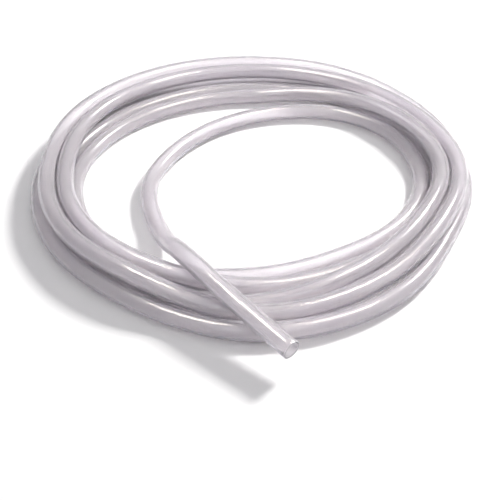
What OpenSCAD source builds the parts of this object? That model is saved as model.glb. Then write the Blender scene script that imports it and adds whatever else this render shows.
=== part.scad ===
// A length of silicone laboratory tubing as it is kept on a bench: wound by hand into a loose
// coil of almost five turns, with one end brought back across the middle and laid over the rim.
// The tube is one moulded piece. It lies on its own weight, so its strands sit side by side on
// the table or ride up over one another.
//
// Frame: the table is the plane z = 0 and the origin is the middle of the space that the tubing
// takes up on it. The free end lies towards -Y.

/* [Tube] */
// Outside diameter of the tube
tube_od = 8; // [7:0.1:9.6]
// Bore of the tube
tube_bore = 6; // [4:0.1:6.2]
// Clear space kept between neighbouring strands
strand_gap = 0.1; // [0.05:0.05:0.4]

/* [Coil] */
// Radius from the axis to the middle of the band of strands
coil_radius = 92; // [85:0.5:112]

/* [Ends] */
// Length of the straight, cleanly cut stretch at each end
end_length = 14; // [10:0.5:20]

/* [Hidden] */
// Distance between the centre lines of two strands that touch.
pitch = tube_od + strand_gap;

// The strands of the coil, one row a lap and one pair every station_step degrees. A pair is
// the place of the strand in the band: how far out from the coil radius and how far up from
// the strands that lie on the table, both in pitches.
station_step = 30;
first_angle = 30;
coil_start = 1;
outer_lap = [
    [3.3, 0], [2.1, 0], [1.3, 0], [1.1, 0], [1.05, 0], [1.07, 0],
    [1.06, 0], [1.15, 0], [1.98, 0], [1.65, 0], [0.75, 0]];
upper_outer_lap = [
    [1.15, 0], [1.4, 0.5], [1.45, 0.95], [1.4, 1.05], [1.42, 1.05], [1.1, 1.05],
    [0.55, 0.98], [0.55, 0.98], [0.55, 1.05], [0.96, 0.26], [0.62, 0.42], [0.35, 1.02]];
upper_inner_lap = [
    [0.68, 1.05], [0.45, 1.05], [0.4, 1], [0.38, 0.95], [0.4, 0.92], [0.1, 1],
    [-0.5, 0.98], [-0.5, 0.98], [-0.65, 0.85], [-1.06, 0.2], [-1.38, 0], [-0.85, 0]];
middle_lap = [
    [-0.25, 0], [-0.15, 0], [-0.25, 0], [-0.45, 0], [-0.5, 0], [-0.25, 0],
    [0.04, 0], [0.04, 0], [0, 0], [-0.04, 0], [-0.45, 0.65], [-0.7, 1.02]];
inner_lap = [
    [-0.37, 1.05], [-0.6, 0.98], [-1.1, 0.6], [-1.52, 0], [-1.55, 0], [-1.28, 0],
    [-0.98, 0], [-1, 0], [-1.35, 0], [-2.1, 0], [-2.45, 0], [-1.9, 0]];
leaving = [[-1.35, 0]];
stations = concat(outer_lap, upper_outer_lap, upper_inner_lap, middle_lap, inner_lap, leaving);

// The free end: across the inside of the coil, up over the front of the band and out. X and Y
// in mm for a coil radius of 92, and the lift in pitches.
route_radius = 92;
free_end = [
    [80.5, 14, 0], [76.6, 30, 0], [68, 45.2, 0], [54.5, 56.5, 0], [40, 62, 0], [25, 63, 0],
    [9, 60.5, 0], [-6, 54.5, 0], [-20, 45, 0], [-32, 32, 0], [-41, 17, 0], [-47, 1, 0],
    [-48.2, -13, 0], [-46, -27, 0], [-41.6, -41.2, 0.05], [-36.3, -56.5, 0.55], [-30, -70.5, 1.27],
    [-22.7, -83.4, 1.65], [-14, -94.6, 1.55], [-4.5, -105.2, 1.35], [5, -115.6, 1.15]];

// How far the swept wall stays inside the round ends' faces, so that none lies in another.
inset = 0.02;

// How far behind the origin the axis of the coil stands, because the free end reaches forward.
axis_back = 10.6;

// Flats round the section, and rings between two stations or two points of the free end.
flats = 12;
coil_rings = 3;
free_rings = 2;

// Point of a smooth curve a fraction t of the way from b to c, with a before and d after.
function blend(a, b, c, d, t) =
    0.5 * (2 * b + (c - a) * t + (2 * a - 5 * b + 4 * c - d) * t * t
    + (3 * b - a - 3 * c + d) * t * t * t);

// Item i of a list, its first or last item when i runs past an end.
function item(list, i) = list[max(0, min(len(list) - 1, i))];

// Place in the band at u stations along the coil.
function place(u) = let (i = min(len(stations) - 2, floor(u)))
    blend(item(stations, i - 1), item(stations, i), item(stations, i + 1),
        item(stations, i + 2), u - i);

// Height of the centre line for a lift in pitches.
function height(lift) = tube_od / 2 + pitch * max(0, lift);

// Point of the centre line at u stations along the coil.
function coil_point(u) = let (
    p = place(u),
    r = coil_radius + pitch * p[0],
    angle = first_angle + station_step * u)
    [r * cos(angle), r * sin(angle), height(p[1])];

last_station = len(stations) - 1;
coil_line = [for (k = [0 : (last_station - coil_start) * coil_rings])
    coil_point(coil_start + k / coil_rings)];

// The free end's points in mm, the coil's last two points before them.
free_points = concat(
    [coil_point(last_station - 0.5), coil_point(last_station)],
    [for (p = free_end) [p[0] * coil_radius / route_radius, p[1] * coil_radius / route_radius,
        height(p[2])]]);
free_line = [for (i = [1 : len(free_points) - 2], k = [1 : free_rings])
    blend(item(free_points, i - 1), free_points[i], free_points[i + 1],
        item(free_points, i + 2), k / free_rings)];
centre_line = concat(coil_line, free_line);

// A vector at unit length.
function unit(v) = v / norm(v);

// Direction of the centre line at its point i.
function heading(i) = unit(item(centre_line, i + 1) - item(centre_line, i - 1));

// Rings of a round section of the given radius, one at each point of the centre line.
function rings(radius) = [for (i = [0 : len(centre_line) - 1])
    let (side = unit(cross(heading(i), [0, 0, 1])), up = cross(side, heading(i)))
    for (k = [0 : flats - 1])
        centre_line[i] + radius * (cos(k * 360 / flats) * side + sin(k * 360 / flats) * up)];

// Side faces between neighbouring rings. Base is the first point's number.
function skin(base, outward) = [for (i = [0 : len(centre_line) - 2], k = [0 : flats - 1])
    let (a = base + i * flats + k, b = base + i * flats + (k + 1) % flats)
    for (f = outward ? [[a, b, a + flats], [b, b + flats, a + flats]]
        : [[a, a + flats, b], [b, a + flats, b + flats]]) f];

// Faces that close the wall between the outside and the bore at ring i.
function rim(i, outward) = let (inner = len(centre_line) * flats)
    [for (k = [0 : flats - 1])
        let (a = i * flats + k, b = i * flats + (k + 1) % flats)
        for (f = outward ? [[a, inner + a, b], [b, inner + a, inner + b]]
            : [[a, b, inner + a], [b, inner + b, inner + a]]) f];

// Places its children at an end of the tube, +Z pointing out of the mouth.
module at_end(point, way) {
    translate(point)
        rotate([0, acos(way[2]), atan2(way[1], way[0])])
            children();
}

tail_way = -heading(0);
tip_way = heading(len(centre_line) - 1);
// How far a straight end reaches back over the swept tube, so that the two are one solid.
lap = 1;
// How far a cut runs past the face that it goes through.
eps = 0.01;

// The straight round end at a mouth, as a plain rod of the given diameter. It starts over the
// swept tube by the lap and runs past the mouth by the given length.
module end_rod(point, way, diameter, past) {
    at_end(point, way)
        translate([0, 0, -lap - past])
            cylinder(d = diameter, h = end_length + lap + 2 * past, $fn = 48);
}

// The tube: one swept wall, and a straight, true round end at each mouth.
module tubing() {
    tail = centre_line[0];
    tip = centre_line[len(centre_line) - 1];
    color([0.84, 0.82, 0.86])
        translate([0, axis_back, 0])
            difference() {
                union() {
                    polyhedron(
                        points = concat(rings(tube_od / 2 - inset), rings(tube_bore / 2 - inset)),
                        faces = concat(skin(0, true), skin(len(centre_line) * flats, false),
                            rim(0, true), rim(len(centre_line) - 1, false)),
                        convexity = 20);
                    end_rod(tail, tail_way, tube_od, 0);
                    end_rod(tip, tip_way, tube_od, 0);
                }
                end_rod(tail, tail_way, tube_bore, eps);
                end_rod(tip, tip_way, tube_bore, eps);
            }
}

tubing();
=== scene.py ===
"""Looks of a coil of translucent silicone laboratory tubing, in the frame of its CAD part."""

import logging
import math
from dataclasses import dataclass, field
from enum import Enum

import bmesh
import bpy
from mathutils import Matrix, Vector


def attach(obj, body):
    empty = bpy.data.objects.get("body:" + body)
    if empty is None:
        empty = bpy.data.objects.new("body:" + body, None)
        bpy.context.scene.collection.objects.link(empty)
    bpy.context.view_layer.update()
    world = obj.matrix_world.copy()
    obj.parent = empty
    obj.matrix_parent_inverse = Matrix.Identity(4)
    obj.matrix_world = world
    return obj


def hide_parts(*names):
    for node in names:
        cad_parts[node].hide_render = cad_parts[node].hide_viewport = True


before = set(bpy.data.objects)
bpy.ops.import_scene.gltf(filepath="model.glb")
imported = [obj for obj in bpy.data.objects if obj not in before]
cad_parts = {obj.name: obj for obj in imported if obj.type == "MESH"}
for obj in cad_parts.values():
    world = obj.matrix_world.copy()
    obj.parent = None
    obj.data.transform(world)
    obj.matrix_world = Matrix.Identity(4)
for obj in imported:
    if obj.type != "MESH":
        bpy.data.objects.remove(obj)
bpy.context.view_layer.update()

log = logging.getLogger("tubing")
Point = tuple[float, float, float]
Place = tuple[float, float]


class Lobe(Enum):
    """What a softbox does for the picture."""

    KEY = "key"
    TOP = "top"
    RIGHT = "right_glint"
    LEFT = "left_glint"


class Socket:
    """A value in a shader, with the usual arithmetic."""

    def __init__(self, finish: "NodeSheet", output: bpy.types.NodeSocket) -> None:
        """Wrap one output.

        Args:
            finish: The sheet of nodes that the output is in.
            output: The output itself.
        """
        self.finish = finish
        self.output = output

    def _maths(self, operation: str, other: "Socket | float") -> "Socket":
        """Combine with another value.

        Args:
            operation: Name of the Math node's operation.
            other: The second operand.

        Returns:
            The result.
        """
        return self.finish.node("ShaderNodeMath", [self, other], operation=operation)

    def __add__(self, other: "Socket | float") -> "Socket":
        """Sum."""
        return self._maths("ADD", other)

    def __mul__(self, other: "Socket | float") -> "Socket":
        """Product."""
        return self._maths("MULTIPLY", other)


class NodeSheet:
    """A material's node tree, with one method that adds any node."""

    def __init__(self, name: str) -> None:
        """Start an empty material.

        Args:
            name: The material's name.
        """
        self.material = bpy.data.materials.new(name)
        self.material.use_nodes = True
        self.tree = self.material.node_tree
        self.tree.nodes.clear()

    def node(
        self,
        kind: str,
        inputs: "list[object] | dict[str, object] | None" = None,
        output: "int | str" = 0,
        **settings: object,
    ) -> Socket:
        """Add a node, set it up and feed it.

        Args:
            kind: The node's type.
            inputs: Values or sockets, in order or by the input's name.
            output: Which output to hand back.
            settings: The node's own properties.

        Returns:
            The chosen output.
        """
        made = self.tree.nodes.new(kind)
        for key, value in settings.items():
            setattr(made, key, value)
        pairs = inputs.items() if isinstance(inputs, dict) else enumerate(inputs or [])
        for key, value in pairs:
            if isinstance(value, Socket):
                self.tree.links.new(value.output, made.inputs[key])
            else:
                made.inputs[key].default_value = value
        return Socket(self, made.outputs[output] if made.outputs else made.inputs[0])

    def ramp(self, value: Socket, stops: "list[tuple[float, tuple[float, float, float]]]") -> Socket:
        """Turn a value into a colour.

        Args:
            value: What picks the colour.
            stops: Positions and their colours.

        Returns:
            The colour.
        """
        out = self.node("ShaderNodeValToRGB", [value])
        band = out.output.node.color_ramp
        while len(band.elements) < len(stops):
            band.elements.new(0.5)
        for element, (position, colour) in zip(band.elements, stops):
            element.position = position
            element.color = (*colour, 1.0)
        return out


@dataclass(frozen=True)
class SiliconeFinish:
    """Milky, see-through silicone with a soft sheen and faint drawing lines along the tube."""

    name: str = "translucent_silicone"
    clear: tuple[float, float, float] = (0.975, 0.96, 0.975)
    cloudy: tuple[float, float, float] = (0.995, 0.985, 0.99)
    depth_tint: tuple[float, float, float] = (0.36, 0.24, 0.50)
    depth: float = 70.0
    transmission: float = 0.82
    ior: float = 1.41
    satin: float = 0.15
    gloss: float = 0.24

    def build(self) -> bpy.types.Material:
        """Make the material.

        Returns:
            The finished material.
        """
        sheet = NodeSheet(self.name)
        lines = sheet.node("ShaderNodeUVMap", output="UV", uv_map="UVMap")
        place = sheet.node("ShaderNodeTexCoord", output="Object")
        haze = sheet.node(
            "ShaderNodeTexNoise",
            {"Vector": place, "Scale": 38.0, "Detail": 3.0, "Roughness": 0.5},
            output="Fac",
        )
        stretched = sheet.node(
            "ShaderNodeMapping", {"Vector": lines, "Scale": (2.2, 14.0, 1.0)}
        )
        drawn = sheet.node(
            "ShaderNodeTexNoise",
            {"Vector": stretched, "Scale": 1.0, "Detail": 2.0, "Roughness": 0.45},
            output="Fac",
        )
        grain = sheet.node(
            "ShaderNodeTexNoise",
            {"Vector": place, "Scale": 900.0, "Detail": 2.0, "Roughness": 0.6},
            output="Fac",
        )
        tint = sheet.ramp(haze * 0.6 + drawn * 0.4, [(0.36, self.clear), (0.64, self.cloudy)])
        rough = sheet.node(
            "ShaderNodeMapRange",
            {"Value": haze * 0.5 + drawn * 0.5, "From Min": 0.3, "From Max": 0.7,
             "To Min": self.satin, "To Max": self.gloss},
            output="Result",
        )
        relief = sheet.node(
            "ShaderNodeBump",
            {"Height": drawn * 0.8 + grain * 0.2, "Strength": 0.05, "Distance": 0.0003},
            output="Normal",
        )
        surface = sheet.node(
            "ShaderNodeBsdfPrincipled",
            {"Base Color": tint, "Roughness": rough, "Normal": relief,
             "IOR": self.ior, "Transmission Weight": self.transmission},
            output="BSDF",
        )
        depth = sheet.node(
            "ShaderNodeVolumeAbsorption",
            {"Color": (*self.depth_tint, 1.0), "Density": self.depth},
            output="Volume",
        )
        sheet.node("ShaderNodeOutputMaterial", {"Surface": surface, "Volume": depth})
        return sheet.material


@dataclass(frozen=True)
class TableFinish:
    """Plain pale table top with a trace of unevenness."""

    name: str = "pale_table"
    tone: float = 0.93

    def build(self) -> bpy.types.Material:
        """Make the material.

        Returns:
            The finished material.
        """
        sheet = NodeSheet(self.name)
        place = sheet.node("ShaderNodeTexCoord", output="Object")
        cloud = sheet.node("ShaderNodeTexNoise", {"Vector": place, "Scale": 2.0}, output="Fac")
        tone = (self.tone, self.tone, self.tone)
        tint = sheet.ramp(cloud, [(0.3, tone), (0.7, tuple(t * 0.995 for t in tone))])
        surface = sheet.node(
            "ShaderNodeBsdfPrincipled", {"Base Color": tint, "Roughness": 0.8}, output="BSDF"
        )
        sheet.node("ShaderNodeOutputMaterial", {"Surface": surface})
        return sheet.material


@dataclass
class TubeRoute:
    """Where the tube's centre line runs, in metres. The places match the CAD part's."""

    outside: float = 0.008
    gap: float = 0.0001
    coil_radius: float = 0.092
    axis_back: float = 0.0106
    straight_end: float = 0.014
    step_degrees: float = 30.0
    first_degrees: float = 30.0
    start: float = 1.0
    samples: int = 8
    free_samples: int = 6
    laps: tuple[tuple[Place, ...], ...] = (
        ((3.3, 0), (2.1, 0), (1.3, 0), (1.1, 0), (1.05, 0), (1.07, 0),
         (1.06, 0), (1.15, 0), (1.98, 0), (1.65, 0), (0.75, 0)),
        ((1.15, 0), (1.4, 0.5), (1.45, 0.95), (1.4, 1.05), (1.42, 1.05), (1.1, 1.05),
         (0.55, 0.98), (0.55, 0.98), (0.55, 1.05), (0.96, 0.26), (0.62, 0.42), (0.35, 1.02)),
        ((0.68, 1.05), (0.45, 1.05), (0.4, 1), (0.38, 0.95), (0.4, 0.92), (0.1, 1),
         (-0.5, 0.98), (-0.5, 0.98), (-0.65, 0.85), (-1.06, 0.2), (-1.38, 0), (-0.85, 0)),
        ((-0.25, 0), (-0.15, 0), (-0.25, 0), (-0.45, 0), (-0.5, 0), (-0.25, 0),
         (0.04, 0), (0.04, 0), (0, 0), (-0.04, 0), (-0.45, 0.65), (-0.7, 1.02)),
        ((-0.37, 1.05), (-0.6, 0.98), (-1.1, 0.6), (-1.52, 0), (-1.55, 0), (-1.28, 0),
         (-0.98, 0), (-1, 0), (-1.35, 0), (-2.1, 0), (-2.45, 0), (-1.9, 0)),
        ((-1.35, 0),),
    )
    free_end: tuple[tuple[float, float, float], ...] = (
        (0.0805, 0.014, 0), (0.0766, 0.030, 0), (0.068, 0.0452, 0), (0.0545, 0.0565, 0),
        (0.040, 0.062, 0), (0.025, 0.063, 0), (0.009, 0.0605, 0), (-0.006, 0.0545, 0),
        (-0.020, 0.045, 0), (-0.032, 0.032, 0), (-0.041, 0.017, 0), (-0.047, 0.001, 0),
        (-0.0482, -0.013, 0), (-0.046, -0.027, 0), (-0.0416, -0.0412, 0.05),
        (-0.0363, -0.0565, 0.55), (-0.030, -0.0705, 1.27), (-0.0227, -0.0834, 1.65),
        (-0.014, -0.0946, 1.55), (-0.0045, -0.1052, 1.35), (0.005, -0.1156, 1.15),
    )

    @property
    def pitch(self) -> float:
        """Distance between the centre lines of two strands side by side."""
        return self.outside + self.gap

    def height(self, lift: float) -> float:
        """Height of the centre line for a lift in pitches."""
        return self.outside / 2 + self.pitch * max(0.0, lift)

    @staticmethod
    def blend(a: float, b: float, c: float, d: float, t: float) -> float:
        """Value of a smooth curve a fraction t of the way from b to c.

        Args:
            a: Value before b.
            b: Value at t = 0.
            c: Value at t = 1.
            d: Value after c.
            t: Fraction of the way.

        Returns:
            The value at t.
        """
        return 0.5 * (
            2 * b + (c - a) * t + (2 * a - 5 * b + 4 * c - d) * t * t
            + (3 * b - a - 3 * c + d) * t ** 3
        )

    def coil_point(self, u: float) -> Vector:
        """Point of the centre line u stations along the coil.

        Args:
            u: Number of stations from the coil's first.

        Returns:
            The point.
        """
        places = [place for lap in self.laps for place in lap]
        last = len(places) - 1
        i = min(last - 1, math.floor(u))
        near = [places[max(0, min(last, k))] for k in (i - 1, i, i + 1, i + 2)]
        out = self.blend(*(p[0] for p in near), u - i)
        lift = self.blend(*(p[1] for p in near), u - i)
        radius = self.coil_radius + self.pitch * out
        angle = math.radians(self.first_degrees + self.step_degrees * u)
        return Vector((radius * math.cos(angle), radius * math.sin(angle), self.height(lift)))

    def points(self) -> list[Vector]:
        """The whole centre line, from the hidden end to the open one.

        Returns:
            Points a few millimetres apart.
        """
        last = sum(len(lap) for lap in self.laps) - 1
        count = round((last - self.start) * self.samples)
        line = [self.coil_point(self.start + k / self.samples) for k in range(count + 1)]
        free = [self.coil_point(last - 0.5), self.coil_point(last)]
        free += [Vector((x, y, self.height(lift))) for x, y, lift in self.free_end]
        for i in range(1, len(free) - 1):
            after = free[min(i + 2, len(free) - 1)]
            corners = list(zip(free[i - 1], free[i], free[i + 1], after))
            for k in range(1, self.free_samples + 1):
                line.append(Vector(self.blend(*p, k / self.free_samples) for p in corners))
        half = self.samples // 2
        tail_way = (line[0] - line[half]).normalized()
        tip_way = (line[-1] - line[-1 - self.free_samples // 2]).normalized()
        steps = (0.25, 0.5, 0.75, 1.0)
        tail = [line[0] + tail_way * self.straight_end * s for s in reversed(steps)]
        tip = [line[-1] + tip_way * self.straight_end * s for s in steps]
        back = Vector((0.0, self.axis_back, 0.0))
        return [point + back for point in tail + line + tip]


@dataclass
class Tube:
    """The silicone tube: a round wall, its bore and its two cut ends."""

    route: TubeRoute = field(default_factory=TubeRoute)
    finish: SiliconeFinish = field(default_factory=SiliconeFinish)
    bore: float = 0.006
    flats: int = 28
    bore_flats: int = 20
    rim_round: float = 0.00014
    uv_per_metre: float = 10.0

    def guide(self, line: list[Vector]) -> bpy.types.Object:
        """Make a bare line of edges for the tree to sweep along.

        Args:
            line: The centre line's points.

        Returns:
            The object that holds the line.
        """
        mesh = bpy.data.meshes.new("tubing_line")
        mesh.from_pydata([tuple(p) for p in line], [(i, i + 1) for i in range(len(line) - 1)], [])
        guide = bpy.data.objects.new("tubing_line", mesh)
        bpy.context.collection.objects.link(guide)
        return guide

    def sweep_tree(self, material: bpy.types.Material) -> bpy.types.NodeTree:
        """Build the tree that sweeps the outside and the bore along a line.

        Args:
            material: What the swept walls are made of.

        Returns:
            The tree.
        """
        tree = bpy.data.node_groups.new("sweep_tube", "GeometryNodeTree")
        face = tree.interface
        face.new_socket("Geometry", in_out="INPUT", socket_type="NodeSocketGeometry")
        face.new_socket("Outside Radius", in_out="INPUT", socket_type="NodeSocketFloat")
        face.new_socket("Bore Radius", in_out="INPUT", socket_type="NodeSocketFloat")
        face.new_socket("Geometry", in_out="OUTPUT", socket_type="NodeSocketGeometry")
        new, link = tree.nodes.new, tree.links.new
        given = new("NodeGroupInput")
        line = new("GeometryNodeMeshToCurve")
        link(given.outputs["Geometry"], line.inputs["Mesh"])
        upright = new("GeometryNodeSetCurveNormal")
        upright.mode = "Z_UP"
        link(line.outputs["Curve"], upright.inputs["Curve"])
        along = new("GeometryNodeStoreNamedAttribute")
        along.data_type, along.domain = "FLOAT", "POINT"
        along.inputs["Name"].default_value = "along"
        travelled = new("GeometryNodeSplineParameter")
        link(upright.outputs["Curve"], along.inputs["Geometry"])
        link(travelled.outputs["Length"], along.inputs["Value"])
        join = new("GeometryNodeJoinGeometry")
        for radius, flats, inner in (
            ("Outside Radius", self.flats, False), ("Bore Radius", self.bore_flats, True)
        ):
            circle = new("GeometryNodeCurvePrimitiveCircle")
            circle.inputs["Resolution"].default_value = flats
            link(given.outputs[radius], circle.inputs["Radius"])
            around = new("GeometryNodeStoreNamedAttribute")
            around.data_type, around.domain = "FLOAT", "POINT"
            around.inputs["Name"].default_value = "around"
            turned = new("GeometryNodeSplineParameter")
            link(circle.outputs["Curve"], around.inputs["Geometry"])
            link(turned.outputs["Factor"], around.inputs["Value"])
            wall = new("GeometryNodeCurveToMesh")
            link(along.outputs["Geometry"], wall.inputs["Curve"])
            link(around.outputs["Geometry"], wall.inputs["Profile Curve"])
            swept = wall.outputs["Mesh"]
            if inner:
                flip = new("GeometryNodeFlipFaces")
                link(swept, flip.inputs["Mesh"])
                swept = flip.outputs["Mesh"]
            link(swept, join.inputs["Geometry"])
        smooth = new("GeometryNodeSetShadeSmooth")
        real = new("GeometryNodeRealizeInstances")
        dress = new("GeometryNodeSetMaterial")
        dress.inputs["Material"].default_value = material
        result = new("NodeGroupOutput")
        link(join.outputs["Geometry"], smooth.inputs[0])
        link(smooth.outputs[0], real.inputs["Geometry"])
        link(real.outputs["Geometry"], dress.inputs["Geometry"])
        link(dress.outputs["Geometry"], result.inputs["Geometry"])
        return tree

    def sweep(self, line: list[Vector], material: bpy.types.Material) -> bpy.types.Mesh:
        """Run the tree and keep its result as a plain mesh.

        Args:
            line: The centre line's points.
            material: What the walls are made of.

        Returns:
            The two swept walls, open at both ends.
        """
        guide = self.guide(line)
        tree = self.sweep_tree(material)
        sweep = guide.modifiers.new("sweep", "NODES")
        sweep.node_group = tree
        keys = {item.name: item.identifier for item in tree.interface.items_tree
                if item.in_out == "INPUT"}
        sweep[keys["Outside Radius"]] = self.route.outside / 2
        sweep[keys["Bore Radius"]] = self.bore / 2
        graph = bpy.context.evaluated_depsgraph_get()
        mesh = bpy.data.meshes.new_from_object(guide.evaluated_get(graph))
        bpy.data.objects.remove(guide)
        return mesh

    def map_wall(self, mesh: bpy.types.Mesh) -> None:
        """Lay the UV map out from the length and the turn that the tree stored.

        Args:
            mesh: The swept walls.
        """
        along, around = mesh.attributes["along"].data, mesh.attributes["around"].data
        layer = mesh.uv_layers.get("UVMap") or mesh.uv_layers.new(name="UVMap")
        for polygon in mesh.polygons:
            turns = [around[mesh.loops[k].vertex_index].value for k in polygon.loop_indices]
            seam = max(turns) - min(turns) > 0.5
            for k, turn in zip(polygon.loop_indices, turns):
                length = along[mesh.loops[k].vertex_index].value
                across = turn + 1 if seam and turn < 0.5 else turn
                layer.data[k].uv = (length * self.uv_per_metre, across)

    def close_ends(self, mesh: bpy.types.Mesh) -> None:
        """Join the outside to the bore at both mouths, with a slightly rounded cut edge.

        Args:
            mesh: The swept walls.
        """
        work = bmesh.new()
        work.from_mesh(mesh)
        open_edges = [e for e in work.edges if len(e.link_faces) == 1]
        ends: dict[bool, list[bmesh.types.BMEdge]] = {True: [], False: []}
        tip = self.route.points()[-1]
        for edge in open_edges:
            at_tip = (edge.verts[0].co - tip).length < self.route.straight_end
            ends[at_tip].append(edge)
        for edges in ends.values():
            bmesh.ops.bridge_loops(work, edges=edges)
            bmesh.ops.bevel(
                work, geom=edges, offset=self.rim_round, segments=2,
                affect="EDGES", profile=0.5,
            )
        bmesh.ops.recalc_face_normals(work, faces=work.faces)
        work.to_mesh(mesh)
        work.free()

    def build(self) -> bpy.types.Object:
        """Returns:
            The finished piece.
        """
        line = self.route.points()
        mesh = self.sweep(line, self.finish.build())
        self.map_wall(mesh)
        self.close_ends(mesh)
        mesh.name = "silicone_tube"
        tube = bpy.data.objects.new("silicone_tube", mesh)
        bpy.context.collection.objects.link(tube)
        mesh.polygons.foreach_set("use_smooth", [True] * len(mesh.polygons))
        length = sum((b - a).length for a, b in zip(line, line[1:]))
        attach(tube, "root")
        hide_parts("tubing")
        log.info("%s: %.3f m of tube, %d faces", tube.name, length, len(mesh.polygons))
        return tube


@dataclass(frozen=True)
class Softbox:
    """One soft studio light."""

    lobe: Lobe
    place: Point
    aim: Point
    size: tuple[float, float]
    power: float
    tint: tuple[float, float, float] = (1.0, 1.0, 1.0)

    def build(self) -> bpy.types.Object:
        """Hang the light.

        Returns:
            The light's object.
        """
        lamp = bpy.data.lights.new(f"softbox_{self.lobe.value}", "AREA")
        lamp.shape = "RECTANGLE"
        lamp.size, lamp.size_y = self.size
        lamp.energy = self.power
        lamp.color = self.tint
        light = bpy.data.objects.new(lamp.name, lamp)
        light.location = self.place
        # the key light lights the table, and the others only shine on and through the tube
        light.visible_glossy = self.lobe is not Lobe.KEY
        light.visible_diffuse = self.lobe is Lobe.KEY
        light.visible_transmission = self.lobe in (Lobe.KEY, Lobe.TOP)
        way = Vector(self.aim) - Vector(self.place)
        light.rotation_euler = way.to_track_quat("-Z", "Y").to_euler()
        bpy.context.collection.objects.link(light)
        return light


@dataclass
class Studio:
    """The table, the soft lights and the camera."""

    table_finish: TableFinish = field(default_factory=TableFinish)
    table_size: float = 6.0
    camera_place: Point = (-0.00047, -0.34481, 0.23877)
    camera_pitch: float = 38.21
    camera_yaw: float = -0.076
    lens: float = 63.57
    overhead: float = 0.68
    horizon: float = 0.03
    full_sky: float = 0.9
    sky_tint: tuple[float, float, float] = (0.96, 0.96, 1.0)
    boxes: tuple[Softbox, ...] = (
        Softbox(Lobe.KEY, (0.59, 0.52, 0.70), (0, 0, 0), (0.20, 0.20), 14.0, (1.0, 0.985, 0.97)),
        Softbox(Lobe.TOP, (0, -0.75, 1.1), (0, 0, 0), (1.2, 0.9), 9.0),
        Softbox(Lobe.RIGHT, (0.40, 0.10, 1.0), (0, 0, 0), (0.36, 0.36), 15.0, (1.0, 0.92, 0.84)),
        Softbox(Lobe.LEFT, (-0.29, 0.10, 1.0), (0, 0, 0), (0.36, 0.36), 15.0, (1.0, 0.92, 0.84)),
    )

    def build_table(self) -> bpy.types.Object:
        """Lay the table top.

        Returns:
            The table top.
        """
        half = self.table_size / 2
        corners = [(-half, -half, 0), (half, -half, 0), (half, half, 0), (-half, half, 0)]
        mesh = bpy.data.meshes.new("table_top")
        mesh.from_pydata(corners, [], [(0, 1, 2, 3)])
        mesh.materials.append(self.table_finish.build())
        table = bpy.data.objects.new("table_top", mesh)
        bpy.context.collection.objects.link(table)
        return table

    def build_camera(self) -> bpy.types.Object:
        """Set the camera up.

        Returns:
            The camera's object.
        """
        data = bpy.data.cameras.new("camera")
        data.lens, data.sensor_width = self.lens, 36.0
        data.clip_start = 0.01
        camera = bpy.data.objects.new("camera", data)
        camera.location = self.camera_place
        camera.rotation_euler = (
            math.radians(90 - self.camera_pitch), 0.0, -math.radians(self.camera_yaw)
        )
        bpy.context.collection.objects.link(camera)
        bpy.context.scene.camera = camera
        return camera

    def build_air(self) -> None:
        """Fill the room with pale light that grows from the horizon upwards."""
        world = bpy.data.worlds.new("room")
        bpy.context.scene.world = world
        world.use_nodes = True
        tree = world.node_tree
        way = tree.nodes.new("ShaderNodeTexCoord")
        split = tree.nodes.new("ShaderNodeSeparateXYZ")
        level = tree.nodes.new("ShaderNodeMapRange")
        level.inputs["From Min"].default_value = 0.0
        level.inputs["From Max"].default_value = self.full_sky
        level.inputs["To Min"].default_value = self.horizon
        level.inputs["To Max"].default_value = self.overhead
        back = tree.nodes["Background"]
        back.inputs["Color"].default_value = (*self.sky_tint, 1.0)
        tree.links.new(way.outputs["Generated"], split.inputs[0])
        tree.links.new(split.outputs["Z"], level.inputs["Value"])
        tree.links.new(level.outputs["Result"], back.inputs["Strength"])
        bpy.context.scene.view_settings.view_transform = "Standard"

    def build(self) -> None:
        """Set the whole studio up."""
        self.build_camera()
        self.build_table()
        for box in self.boxes:
            box.build()
        self.build_air()
        log.info("studio: %d softboxes", len(self.boxes))


def main() -> None:
    """Build the studio and the tube."""
    logging.basicConfig(level=logging.INFO, format="%(name)s: %(message)s")
    Studio().build()
    Tube().build()


if __name__ == "__main__":
    main()
